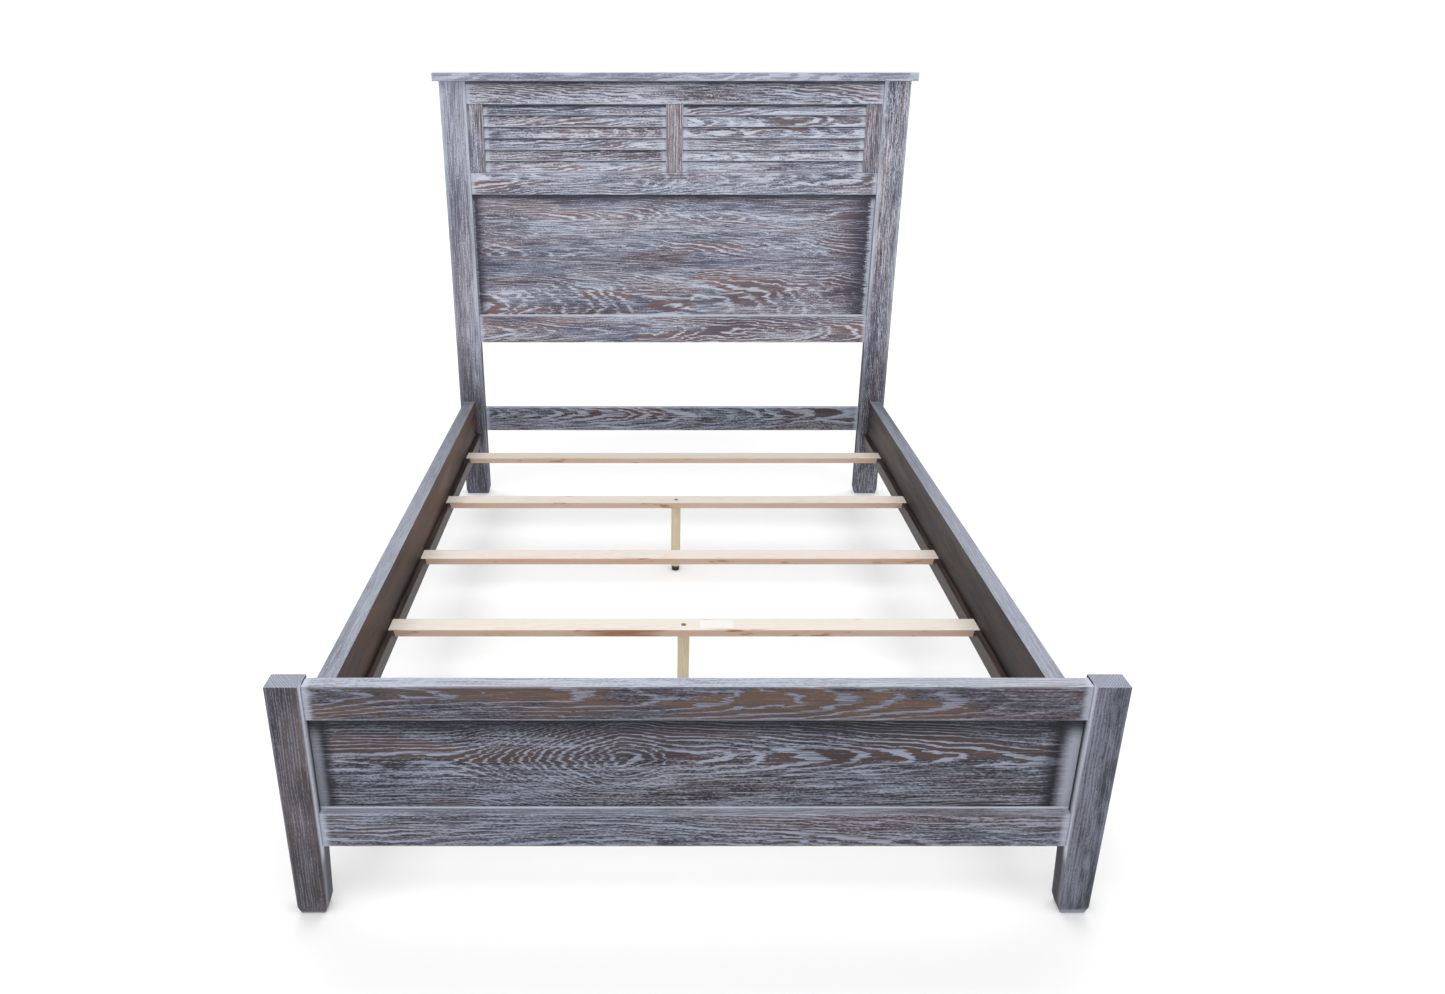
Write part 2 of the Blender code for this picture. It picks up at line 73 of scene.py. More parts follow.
# Tones of an oak board: bare dark wood, bare brown latewood, blue-grey glaze and white wash
HEAD_TONE = (paint(62, 59, 71), paint(116, 102, 106), paint(118, 121, 139), paint(200, 205, 218))
FOOT_TONE = (paint(28, 26, 33), paint(86, 73, 73), paint(82, 84, 96), paint(154, 160, 177))
WARM_TONE = (paint(38, 34, 37), paint(96, 81, 75), paint(76, 75, 86), paint(134, 138, 153))
POOLED = paint(182, 188, 202)           # wash in corners and on edges
CHALK = paint(212, 216, 226)            # wash in the sharpest corners
END_GRAIN = paint(126, 129, 141)

# Pairs of a dark and a light colour that noise mixes
SHADE = (paint(52, 50, 58), paint(84, 85, 96))
STAIN = (paint(30, 25, 24), paint(100, 73, 57))
COOL_STAIN = (paint(30, 27, 28), paint(94, 82, 79))
LEDGER_STAIN = (paint(26, 22, 22), paint(70, 54, 46))
PINE = (paint(205, 198, 190), paint(197, 183, 169))
DOWEL = (paint(206, 192, 164), paint(186, 166, 132))
ZINC = (paint(120, 114, 108), paint(156, 150, 144))
SAWN_EDGE = paint(186, 143, 115)
KNOT = paint(136, 90, 54)
# painted shade of a bolt's hexagon socket and of the wood around its head
SOCKET_SHADE = paint(44, 38, 34)
PAPER = paint(220, 218, 216)
STEEL = (0.62, 0.62, 0.60, 1.0)
BLACK = (0.012, 0.012, 0.013, 1.0)
WHITE = (1.0, 1.0, 1.0, 1.0)

# Noise cycles per metre along the grain, across it and through the board's depth
TEAR = (7.0, 230.0, 230.0)              # ragged sides of a porous band
STRAND = (9.0, 220.0, 220.0)            # long strands of fibre
PORE = (110.0, 400.0, 400.0)            # short open pores
PATCH = (2.2, 12.0, 12.0)               # where bands widen and latewood lies bare
BROAD = (1.8, 11.0, 11.0)               # slow change of wash and of wood colour
WIPED = (6.0, 22.0, 22.0)               # dark patches where the wash was wiped off
DRIFT = (1.3, 1.6, 1.6)                 # stray of the pith line
RIPPLE = (9.0, 30.0, 30.0)              # waves in the rings
STREAK = (6.0, 160.0, 160.0)            # streaks in a stained strip
PINE_PATCH = (3.0, 14.0, 14.0)
PINE_BLOT = (9.0, 60.0, 60.0)

TEAR_REACH = 0.07           # how far along the grain the fibres shift a ring's edge
RIPPLE_DEPTH = 0.011        # how far the waves move a ring
UNEQUAL = (0.27, 1.2)       # rings' unequal widths: how often they change, and how much
RAGGED = 0.045              # how far the fibres shift the border of pooled wash
SLAT_STAIN = (-0.19, 0.15)  # middle and half length of the stain on slat 4's edge


class Graph:
    """Builds a material's nodes with short calls that return sockets."""

    def __init__(self, name):
        self.material = bpy.data.materials.new(name)
        self.material.use_nodes = True
        self.tree = self.material.node_tree
        self.shader = self.tree.nodes["Principled BSDF"]

    def node(self, kind, **settings):
        node = self.tree.nodes.new(kind)
        for key, value in settings.items():
            setattr(node, key, value)
        return node

    def put(self, socket, value):
        """Link a socket to an input, or set a plain value on it."""
        if isinstance(value, bpy.types.NodeSocket):
            self.tree.links.new(value, socket)
        elif value is not None:
            socket.default_value = value

    def math(self, operation, *values):
        node = self.node("ShaderNodeMath", operation=operation)
        for socket, value in zip(node.inputs, values):
            self.put(socket, value)
        return node.outputs[0]

    def add(self, first, second):
        return self.math("ADD", first, second)

    def subtract(self, first, second):
        return self.math("SUBTRACT", first, second)

    def multiply(self, first, second):
        return self.math("MULTIPLY", first, second)

    def multiply_add(self, first, second, third):
        return self.math("MULTIPLY_ADD", first, second, third)

    def length(self, first, second):
        """Length of a vector in a plane."""
        squares = self.add(self.multiply(first, first), self.multiply(second, second))
        return self.math("SQRT", squares)

    def smooth(self, value, low, high, start=0.0, end=1.0):
        """A soft step from start, where value is low, to end, where it is high."""
        node = self.node("ShaderNodeMapRange", interpolation_type="SMOOTHSTEP")
        for socket, item in zip(node.inputs, (value, low, high, start, end)):
            self.put(socket, item)
        return node.outputs[0]

    def vector(self, x, y, z):
        node = self.node("ShaderNodeCombineXYZ")
        for socket, value in zip(node.inputs, (x, y, z)):
            self.put(socket, value)
        return node.outputs[0]

    def components(self, vector):
        node = self.node("ShaderNodeSeparateXYZ")
        self.put(node.inputs[0], vector)
        return node.outputs

    def channels(self, color):
        node = self.node("ShaderNodeSeparateColor")
        self.put(node.inputs[0], color)
        return node.outputs

    def scaled(self, vector, factors, offset=(0.0, 0.0, 0.0)):
        node = self.node("ShaderNodeVectorMath", operation="MULTIPLY_ADD")
        self.put(node.inputs[0], vector)
        node.inputs[1].default_value = factors
        node.inputs[2].default_value = offset
        return node.outputs[0]

    def noise(self, vector, cycles, seed, detail=2.0, roughness=0.5):
        """Outputs of a noise with so many cycles per metre: a value and a colour."""
        node = self.node("ShaderNodeTexNoise")
        self.put(node.inputs["Vector"], self.scaled(vector, cycles, seed))
        node.inputs["Scale"].default_value = 1.0
        node.inputs["Detail"].default_value = detail
        node.inputs["Roughness"].default_value = roughness
        return node.outputs

    def chance(self, number):
        """Outputs of a random value and colour that belong to a whole number."""
        node = self.node("ShaderNodeTexWhiteNoise", noise_dimensions="1D")
        self.put(node.inputs["W"], number)
        return node.outputs

    def mix(self, factor, first, second):
        node = self.node("ShaderNodeMix", data_type="RGBA")
        self.put(node.inputs["Factor"], factor)
        self.put(node.inputs["A"], first)
        self.put(node.inputs["B"], second)
        return node.outputs["Result"]

    def bump(self, height, distance, strength):
        node = self.node("ShaderNodeBump")
        node.inputs["Strength"].default_value = strength
        node.inputs["Distance"].default_value = distance
        self.put(node.inputs["Height"], height)
        self.put(self.shader.inputs["Normal"], node.outputs[0])

    def position(self):
        return self.node("ShaderNodeTexCoord").outputs["Object"]

    def finish(self, color, roughness):
        self.put(self.shader.inputs["Base Color"], color)
        self.put(self.shader.inputs["Roughness"], roughness)
        return self.material


AXES = {"X": (0, 2, 1), "Y": (1, 2, 0), "Z": (2, 0, 1), "deck": (0, 1, 2)}


class Board:
    """Where a board lies: its middle, its half sizes and its grain, width and depth axes."""

    def __init__(self, name, grain, shown=None):
        self.name = name
        low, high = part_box(name)
        self.order = AXES[grain]
        self.middle = (low + high) / 2
        half = (high - low) / 2
        self.half = [half[axis] for axis in self.order]
        self.shown = shown or self.half[0]      # half length outside the joints
        self.seed = [DRAW.uniform(-50.0, 50.0) for _ in range(3)]

    def seeds(self, order):
        """The board's three random offsets in another order, for another noise."""
        return tuple(self.seed["uvw".index(letter)] for letter in order)

    def along(self, place):
        """A world position along the grain, from the board's middle."""
        return place - self.middle[self.order[0]]

    def across(self, place):
        return place - self.middle[self.order[1]]


@dataclass
class Cut:
    """How a board was sawn and finished: lengths in metres, amounts mostly from 0 to 1."""

    pith: tuple                     # pith line: sideways and below the face
    spacing: float = 0.005          # between growth rings
    lean: tuple = (0.0, 0.02)       # pith line's slope sideways and in depth
    wander: tuple = (0.05, 0.06)    # how far the pith line strays
    eye: float = None               # place along the board of an oval figure
    stave: float = None             # width of the staves a wide panel is glued from
    tone: tuple = HEAD_TONE
    wash: float = 0.6               # white left in the porous bands
    veil: float = 0.4               # white left everywhere
    brown: float = 0.5              # how much bare brown latewood shows
    band: float = 0.5               # porous share of a ring
    figure: float = 0.12            # how strongly the rings show in the wash
    fineness: float = 1.0           # fibres per metre, against the usual
    uneven: float = 0.0             # slow change in how much wash was left
    tint: float = 0.0               # slow change from grey to brown wood
    glaze: float = 0.0              # thin grey film that evens the figure out
    smudge: float = 0.0             # dark wiped patches
    ends: tuple = (0.7, 0.7)        # wash pooled at the two ends
    end_length: float = 0.03        # how far in from an end it reaches
    shadow_length: float = 0.0      # length of a dark band beyond it
    edges: tuple = (0.3, 0.3)       # wash along the two long edges
    edge_width: float = 0.006
    top: float = 0.75               # wash and painted top light on upward faces
    lines: tuple = (None, None)     # heights: painted shadow line above, white line below
    shadow: float = 0.018           # depth of the painted shadow line above
    dim: tuple = None               # from, to along the board: painted shade, darker towards the first
    plain_side: int = 0             # +1 or -1: the X side left plain and dark
    plain: tuple = SHADE            # its two colours
    joint: float = None             # height of a post's lowest joint


def board_coordinates(graph, board):
    """u along the grain, v across the width and w through the depth, from the board's middle."""
    moved = graph.scaled(graph.position(), (1.0, 1.0, 1.0), tuple(-board.middle))
    split = graph.components(moved)
    u, v, w = (split[axis] for axis in board.order)
    return u, v, w, graph.vector(u, v, w)


STAVE_SHIFT = (9.0, 1.2, 0.06)      # along in metres, across in staves, deep in metres


def glued_staves(graph, width, u, v, w):
    """Board coordinates in which every stave of a glued panel comes from another place in a log."""
    count = graph.math("FLOOR", graph.multiply(v, 1.0 / width))
    shift = graph.channels(graph.chance(graph.add(count, 0.5))["Color"])
    across = graph.multiply_add(count, -width, graph.subtract(v, 0.5 * width))
    across = graph.multiply_add(graph.subtract(shift[0], 0.5), STAVE_SHIFT[1] * width, across)
    along = graph.multiply_add(shift[1], STAVE_SHIFT[0], u)
    deep = graph.multiply_add(graph.subtract(shift[2], 0.5), STAVE_SHIFT[2], w)
    return along, across, deep


def oval_figure(graph, eye, u, tear):
    """What the rings' radius gains away from an eye, so that the surface cuts them as ovals."""
    along = graph.multiply_add(tear, -0.035, graph.subtract(u, eye))
    near = graph.multiply(along, 0.16)
    far = graph.multiply_add(along, 0.03, 0.012)
    right = graph.math("MINIMUM", near, far)
    rise = graph.math("MAXIMUM", graph.multiply(along, -0.22), right)
    return graph.smooth(rise, -0.01, 0.075, -0.01, 0.065)


def growth_rings(graph, board, cut, uvw, tear):
    """Ring number at each point; every whole number starts a ring's porous wood."""
    torn = graph.node("ShaderNodeVectorMath", operation="ADD")
    graph.put(torn.inputs[0], uvw)
    shift = graph.multiply_add(tear, TEAR_REACH, -0.5 * TEAR_REACH)
    graph.put(torn.inputs[1], graph.vector(shift, 0.0, 0.0))
    uvw = torn.outputs[0]
    u, v, w = graph.components(uvw)
    if cut.stave is not None:
        u, v, w = glued_staves(graph, cut.stave, u, v, w)
        uvw = graph.vector(u, v, w)
    drift = graph.channels(graph.noise(uvw, DRIFT, board.seeds("uvw"), 2.0, 0.45)[1])
    ripple = graph.noise(uvw, RIPPLE, board.seeds("wuv"), 3.0, 0.55)[0]
    across = graph.multiply_add(graph.subtract(drift[0], 0.5), cut.wander[0],
                                graph.subtract(v, cut.pith[0]))
    across = graph.multiply_add(u, -cut.lean[0], across)
    deep = graph.multiply_add(graph.subtract(drift[1], 0.5), cut.wander[1],
                              graph.subtract(w, cut.pith[1]))
    deep = graph.multiply_add(u, -cut.lean[1], deep)
    radius = graph.length(across, deep)
    if cut.eye is not None:
        radius = graph.add(radius, oval_figure(graph, cut.eye, u, tear))
    radius = graph.multiply_add(graph.subtract(ripple, 0.5), RIPPLE_DEPTH, radius)
    ring = graph.multiply(radius, 1.0 / cut.spacing)
    unequal = graph.vector(graph.multiply(ring, UNEQUAL[0]), board.seed[0], 0.0)
    unequal = graph.noise(unequal, (1.0, 1.0, 1.0), (0.0, 0.0, 0.0), 0.0)[0]
    return graph.multiply_add(unequal, UNEQUAL[1], ring)


class Grain:
    """The fields of a board's figure, from which its colours are mixed."""

    def __init__(self, graph, board, cut, uvw):
        strands = tuple(cut.fineness * cycles for cycles in STRAND)
        pores = tuple(cut.fineness * cycles for cycles in PORE)
        tear = graph.noise(uvw, TEAR, board.seeds("wvu"), 2.0, 0.6)[0]
        self.strand = graph.noise(uvw, strands, board.seeds("vuw"), 2.0, 0.6)[0]
        self.pore = graph.noise(uvw, pores, board.seeds("uwv"), 2.0, 0.7)[0]
        self.patch = graph.noise(uvw, PATCH, board.seeds("vwu"), 3.0, 0.5)[0]
        self.broad = graph.channels(graph.noise(uvw, BROAD, board.seeds("wuv"), 2.0, 0.5)[1])
        self.fibre = graph.multiply_add(self.strand, 0.5, graph.multiply(self.pore, 0.5))

        # Ring profile: porous early wood takes the wash, dense latewood stays bare and brown
        ring = growth_rings(graph, board, cut, uvw, tear)
        phase = graph.math("FRACT", ring)
        chance = graph.chance(graph.math("FLOOR", ring))["Value"]
        width = graph.smooth(self.patch, 0.3, 0.7, 0.4 * cut.band, cut.band)
        width = graph.multiply_add(chance, 0.7 * cut.band, width)
        fading = graph.smooth(phase, graph.multiply(width, 0.5), width, 1.0, 0.0)
        self.early = graph.multiply(graph.smooth(phase, 0.0, 0.08), fading)
        threshold = 0.66 - 0.30 * cut.brown
        bare = graph.smooth(self.patch, threshold, threshold + 0.08)
        self.bare = graph.multiply(bare, graph.smooth(self.early, 0.1, 0.5, 1.0, 0.0))

        # Level of the wash, how far it covers the wood, and the dark gaps left without it
        strength = graph.smooth(self.patch, 0.35, 0.6, 0.03, cut.figure)
        strength = graph.multiply_add(chance, 0.07, strength)
        level = graph.multiply_add(self.early, strength, self.fibre)
        level = graph.multiply_add(self.bare, -0.08, level)
        self.level = graph.multiply_add(graph.subtract(self.broad[0], 0.5), cut.uneven, level)
        most = 0.50 + 0.5 * cut.wash
        lift = 0.05 * cut.veil
        cover = graph.smooth(self.level, 0.53 - lift, 0.65 - lift, 0.0, most)
        self.cover = graph.multiply(cover, graph.smooth(tear, 0.36, 0.48, 0.25, 1.0))
        deepest = graph.smooth(self.bare, 0.0, 1.0, 0.85, 0.25)
        self.gap = graph.smooth(self.level, 0.51, 0.42, 0.0, deepest)


def washed_wood(graph, board, cut, grain, uvw):
    """Grey and brown wood with its dark gaps and white wash."""
    dark_oak, brown_oak, slate, wash = cut.tone
    warm = graph.smooth(grain.broad[1], 0.40, 0.62, 0.0, cut.tint)
    heart = graph.multiply_add(grain.broad[2], 0.6, graph.multiply(grain.strand, 0.4))
    brown = graph.mix(graph.smooth(heart, 0.38, 0.60), tinted(brown_oak, 0.76, 0.80, 0.86),
                      tinted(brown_oak, 1.22, 1.10, 1.0))
    wood = graph.mix(graph.math("MAXIMUM", grain.bare, warm), slate, brown)
    wood = graph.mix(grain.gap, wood, dark_oak)
    color = graph.mix(grain.cover, wood, wash)
    if cut.glaze:
        film = graph.mix(graph.smooth(grain.patch, 0.3, 0.7), slate, wash)
        color = graph.mix(cut.glaze, color, graph.mix(0.5, film, slate))
    if cut.smudge:
        wiped = graph.noise(uvw, WIPED, board.seeds("uwv"), 3.0, 0.6)[0]
        wiped = graph.smooth(wiped, 0.44, 0.60, 0.0, cut.smudge)
        wiped = graph.multiply(wiped, graph.smooth(grain.level, 0.5, 0.7, 1.0, 0.6))
        color = graph.mix(wiped, color, dark_oak)
    return color


def pooled_wash(graph, board, cut, grain, u, v, color):
    """Wash wiped into the corners: light at the ends, then a dark band, and light long edges."""
    dark_oak, _, slate, _ = cut.tone
    near = graph.math("MINIMUM", graph.add(u, board.shown), graph.subtract(board.shown, u))
    amount = graph.smooth(u, -0.02, 0.02, *cut.ends)
    ragged = graph.math("DIVIDE", near, graph.math("MAXIMUM", amount, 0.05))
    ragged = graph.multiply_add(graph.subtract(grain.fibre, 0.5), RAGGED, ragged)
    if cut.shadow_length:
        dark_end = cut.end_length + 1.8 * cut.shadow_length
        band = graph.smooth(ragged, cut.end_length, dark_end, 1.0, 0.0)
        band = graph.multiply(band, graph.smooth(amount, 0.0, 0.6))
        dark = graph.mix(graph.smooth(grain.level, 0.50, 0.80), dark_oak, slate)
        color = graph.mix(band, color, dark)
    pool = graph.smooth(ragged, 0.25 * cut.end_length, cut.end_length, 0.95, 0.0)
    pool = graph.multiply(pool, amount)
    rim = graph.smooth(graph.math("ABSOLUTE", v), board.half[1] - cut.edge_width, board.half[1])
    rim = graph.multiply(rim, graph.smooth(v, -0.002, 0.002, *cut.edges))
    rim = graph.multiply(rim, graph.smooth(grain.patch, 0.30, 0.55, 0.4, 1.0))
    return graph.mix(graph.math("MAXIMUM", pool, rim), color, POOLED)


def shadow_and_wash_lines(graph, board, cut, grain, v, color):
    """A dark line of painted shadow under the piece above and a white line on the piece below."""
    above, below = cut.lines
    if above is not None:
        place = board.across(above)
        # painted shadow under the piece above
        shade = graph.smooth(v, place - cut.shadow, place - 0.3 * cut.shadow, 0.0, 0.95)
        shade = graph.multiply(shade, graph.smooth(grain.level, 0.50, 0.66, 1.0, 0.75))
        color = graph.mix(shade, color, cut.tone[0])
    if below is not None:
        place = board.across(below)
        bright = graph.smooth(v, place + 0.003, place + 0.006, 1.0, 0.0)
        color = graph.mix(bright, color, CHALK)
    return color


def upward_faces(graph, board, cut, grain, facing, color):
    """Faces that look up get thick wash and painted top light; on a post these are end grain."""
    # painted top light, partly wash: upward faces lighter
    upward = graph.smooth(facing[2], 0.5, 0.9, 0.0, cut.top)
    if board.order == AXES["Z"]:
        rings = graph.mix(graph.multiply(grain.early, 0.4), END_GRAIN, POOLED)
        return graph.mix(upward, color, rings)
    upward = graph.multiply(upward, graph.smooth(grain.level, 0.40, 0.56, 0.35, 1.0))
    return graph.mix(upward, color, POOLED)


def dimmed_end(graph, board, cut, grain, u, color):
    """Painted shade: darker towards one end of the board, most where the wash is thin."""
    low, high = (board.along(place) for place in cut.dim)
    # painted shade towards the first end
    dimmed = graph.smooth(u, low, high, 0.75, 0.0)
    dimmed = graph.multiply(dimmed, graph.smooth(grain.level, 0.62, 0.50, 0.45, 1.0))
    return graph.mix(dimmed, color, SHADE[0])


def plain_inner_side(graph, board, cut, grain, uvw, facing, color):
    """The side that faces the bed: stained and not washed, but for a post's front corner."""
    u, v, w = uvw
    inner = graph.smooth(graph.multiply(facing[0], cut.plain_side), 0.6, 0.9)
    blend = graph.multiply_add(grain.patch, 0.6, graph.multiply(grain.fibre, 0.5))
    plain = graph.mix(graph.smooth(blend, 0.40, 0.72), *cut.plain)
    # painted shade: a side rail's plain side darkens towards its bottom, by the ledger
    painted_shade = graph.smooth(v, -board.half[1], 0.5 * board.half[1], 0.7, 0.0)
    plain = graph.mix(painted_shade, plain, cut.plain[0])
    # painted sheen and shade: a side rail's plain side darker towards the foot end, lighter towards
    # the head end
    if board.order == AXES["Y"]:
        plain = graph.mix(graph.smooth(u, -1.0, 0.1, 0.5, 0.0), plain, cut.plain[0])
    color = graph.mix(inner, color, plain)
    if cut.joint is not None:
        face = -board.half[2]
        place = board.along(cut.joint)
        front = graph.smooth(w, face + 0.005, face + 0.019, 0.85, 0.0)
        front = graph.multiply(front, graph.smooth(u, place - 0.05, place, 0.2, 1.0))
        color = graph.mix(graph.multiply(front, inner), color, CHALK)
    return color


def oak_material(board, cut):
    """Brushed oak: dark brown-grey wood with white wash in its pores and pooled at its ends."""
    graph = Graph("oak_" + board.name)
    u, v, w, uvw = board_coordinates(graph, board)
    grain = Grain(graph, board, cut, uvw)
    normal = graph.node("ShaderNodeNewGeometry").outputs["True Normal"]
    facing = graph.components(normal)
    color = washed_wood(graph, board, cut, grain, uvw)
    color = pooled_wash(graph, board, cut, grain, u, v, color)
    color = shadow_and_wash_lines(graph, board, cut, grain, v, color)
    color = upward_faces(graph, board, cut, grain, facing, color)
    if cut.dim is not None:
        color = dimmed_end(graph, board, cut, grain, u, color)
    if cut.plain_side:
        color = plain_inner_side(graph, board, cut, grain, (u, v, w), facing, color)
    graph.shader.inputs["Specular IOR Level"].default_value = 0.25
    brushed = graph.multiply_add(grain.early, -0.4, graph.multiply(grain.pore, -0.8))
    graph.bump(brushed, 0.0006, 0.6)
    return graph.finish(color, graph.smooth(grain.cover, 0.0, 1.0, 0.55, 0.80))


def stain_material(board):
    """Plain dark brown stain on a planed strip."""
    graph = Graph("stain_" + board.name)
    uvw = board_coordinates(graph, board)[3]
    streak = graph.noise(uvw, STREAK, board.seeds("uvw"), 3.0, 0.6)[0]
    graph.bump(streak, 0.0004, 0.5)
    color = graph.mix(graph.smooth(streak, 0.35, 0.7), *LEDGER_STAIN)
    return graph.finish(color, graph.smooth(streak, 0.3, 0.7, 0.42, 0.60))


def sawn_edges(graph, board, ringed, uvw, v, patch, color):
    """Warmer sawn edges with small brown blots along them."""
    edge = board.half[1]
    beside = graph.math("ABSOLUTE", v)
    sawn = graph.smooth(beside, edge - 0.002, edge - 0.0005)
    color = graph.mix(sawn, color, graph.mix(patch, ringed, SAWN_EDGE))
    blot = graph.noise(uvw, PINE_BLOT, board.seeds("wuv"), 3.0, 0.6)[0]
    blot = graph.smooth(blot, 0.60, 0.70, 0.0, 0.8)
    blot = graph.multiply(blot, graph.smooth(beside, edge - 0.010, edge))
    return graph.mix(blot, color, KNOT)


def edge_stain(graph, board, stained, u, v, tear, patch, color):
    """One larger stain on the front edge, given by its middle and half length."""
    middle, reach = stained
    edge = board.half[1]
    away = graph.math("ABSOLUTE", graph.subtract(u, middle))
    away = graph.multiply_add(graph.subtract(tear, 0.5), 0.08, away)
    mark = graph.smooth(away, 0.6 * reach, reach, 0.95, 0.0)
    mark = graph.multiply(mark, graph.smooth(v, -edge + 0.003, -edge, 0.0, 1.0))
    mark = graph.multiply(mark, graph.smooth(patch, 0.35, 0.6))
    return graph.mix(mark, color, KNOT)


def pine_material(board, pale, ringed, stained=None, turned=False):
    """Bare softwood with faint rings. A turned piece has no sawn edges."""
    graph = Graph("pine_" + board.name)
    u, v, _, uvw = board_coordinates(graph, board)
    cut = Cut((DRAW.uniform(-0.03, 0.03), DRAW.uniform(-0.10, -0.05)))
    tear = graph.noise(uvw, TEAR, board.seeds("wvu"), 2.0, 0.6)[0]
    ring = growth_rings(graph, board, cut, uvw, tear)
    late = graph.smooth(graph.math("FRACT", ring), 0.35, 0.95)
    patch = graph.noise(uvw, PINE_PATCH, board.seeds("vwu"), 3.0, 0.55)[0]
    shown = graph.multiply(late, graph.smooth(patch, 0.3, 0.7, 0.2, 0.7))
    color = graph.mix(shown, pale, ringed)
    if not turned:
        color = sawn_edges(graph, board, ringed, uvw, v, patch, color)
    if stained:
        color = edge_stain(graph, board, stained, u, v, tear, patch, color)
    graph.bump(late, 0.0003, 0.4)
    return graph.finish(color, graph.smooth(tear, 0.3, 0.7, 0.62, 0.75))


def plain_material(name, color, roughness, metallic=0.0):
    """One colour with a fine speck."""
    graph = Graph(name)
    speck = graph.noise(graph.position(), (900.0, 900.0, 900.0), (0.0, 0.0, 0.0), 3.0)[0]
    graph.shader.inputs["Metallic"].default_value = metallic
    return graph.finish(graph.mix(speck, tinted(color, 0.8, 0.8, 0.8), color), roughness)


def bolt_material(name):
    """Dull zinc, with painted shade as a dark rim in the wood around it and in its dark hexagon
    socket.
    """
    graph = Graph("zinc_" + name)
    low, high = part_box(name)
    middle = (low + high) / 2
    source = graph.position()
    flat = graph.scaled(source, (1.0, 1.0, 0.0), (-middle.x, -middle.y, 0.0))
    x, y, _ = graph.components(flat)
    radius = graph.length(x, y)
    speck = graph.noise(source, (1500.0, 1500.0, 1500.0), (0.0, 0.0, 0.0), 3.0)[0]
    color = graph.mix(speck, *ZINC)
    # painted shade around the head and in the socket
    color = graph.mix(graph.smooth(radius, 0.0046, 0.0056), color, SOCKET_SHADE)
    color = graph.mix(graph.smooth(radius, 0.0022, 0.0016), color, SOCKET_SHADE)
    metal = graph.smooth(radius, 0.0046, 0.0056, 0.7, 0.0)
    graph.put(graph.shader.inputs["Metallic"], metal)
    return graph.finish(color, graph.smooth(speck, 0.3, 0.7, 0.4, 0.6))


def dress(name, material):
    NODES[name].material_slots[0].material = material


# Ways of sawing and washing that several boards share
FLAT_SAWN = {"spacing": 0.0038, "lean": (0.0, 0.04)}
STRAIGHT = {"spacing": 0.004, "wander": (0.02, 0.02), "figure": 0.04}
HEAD_FINISH = {"wash": 0.65, "veil": 1.0, "brown": 0.4, "band": 0.4, "fineness": 1.35,
               "uneven": 0.35, "tint": 0.7}
STILE_FINISH = dict(HEAD_FINISH, brown=0.9, tint=1.0, uneven=0.0, ends=(0.3, 0.3))


def dress_rails():
    """The boards that run across the bed: cap, rails, stretcher and panels."""
    cap_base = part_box("head_cap")[0].z
    head_panel = (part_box("head_mid_rail")[0].z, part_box("head_bottom_rail")[1].z)
    foot_panel = (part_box("foot_top_rail")[0].z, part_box("foot_bottom_rail")[1].z)
    top = dict(HEAD_FINISH, veil=1.5)
    mid = dict(HEAD_FINISH, veil=0.8)
    bottom = dict(HEAD_FINISH, veil=0.6, brown=0.7, tint=1.0)
    cuts = {
        "head_cap": Cut((0.02, 0.10), ends=(0.3, 0.3), wash=0.55, veil=0.7, brown=0.3, glaze=0.45),
        "head_top_rail": Cut((-0.05, 0.12), lines=(cap_base, None), **top, **FLAT_SAWN),
        "head_mid_rail": Cut((0.03, 0.10), **mid, **FLAT_SAWN),
        "head_bottom_rail": Cut((-0.01, 0.06), figure=0.16, **bottom, **FLAT_SAWN),
        "head_stretcher": Cut((0.02, 0.08), lean=(0.0, 0.05), tone=FOOT_TONE, wash=0.8, veil=1.0,
                              brown=0.4, fineness=1.35, tint=1.0, figure=0.10, top=0.2),
        "head_panel": Cut((0.0, 0.07), stave=0.135, wash=0.66, brown=0.5, band=0.36, figure=0.12,
                          fineness=1.55, uneven=0.3, tint=0.7, ends=(0.7, 2.0), end_length=0.009,
                          shadow_length=0.035, lines=head_panel, shadow=0.030, **FLAT_SAWN),
        "foot_top_rail": Cut((0.01, 0.05), 0.006, (0.0, 0.05), tone=WARM_TONE, wash=0.45,
                             veil=0.1, brown=0.65, band=0.32, figure=0.17, fineness=1.15,
                             tint=0.5, top=0.55),
        "foot_panel": Cut((0.005, 0.0558), 0.0052, (0.01, 0.0), (0.04, 0.035), eye=-0.165,
                          tone=FOOT_TONE, veil=0.9, brown=0.4, band=0.33, figure=0.17,
                          fineness=1.3, uneven=0.15, tint=0.6, smudge=0.3, ends=(0.45, 0.75),
                          end_length=0.055, shadow_length=0.025, lines=foot_panel,
                          shadow=0.060),
        "foot_bottom_rail": Cut((-0.06, 0.12), 0.004, tone=FOOT_TONE, wash=0.7, veil=0.7,
                                brown=0.4, fineness=1.3, tint=0.9, glaze=0.1, top=0.1),
    }
    reach = {end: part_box(end + "_post_right")[0].x for end in ("head", "foot")}
    for name, cut in cuts.items():
        shown = None if name == "head_cap" else reach[name[:4]]
        dress(name, oak_material(Board(name, "X", shown), cut))


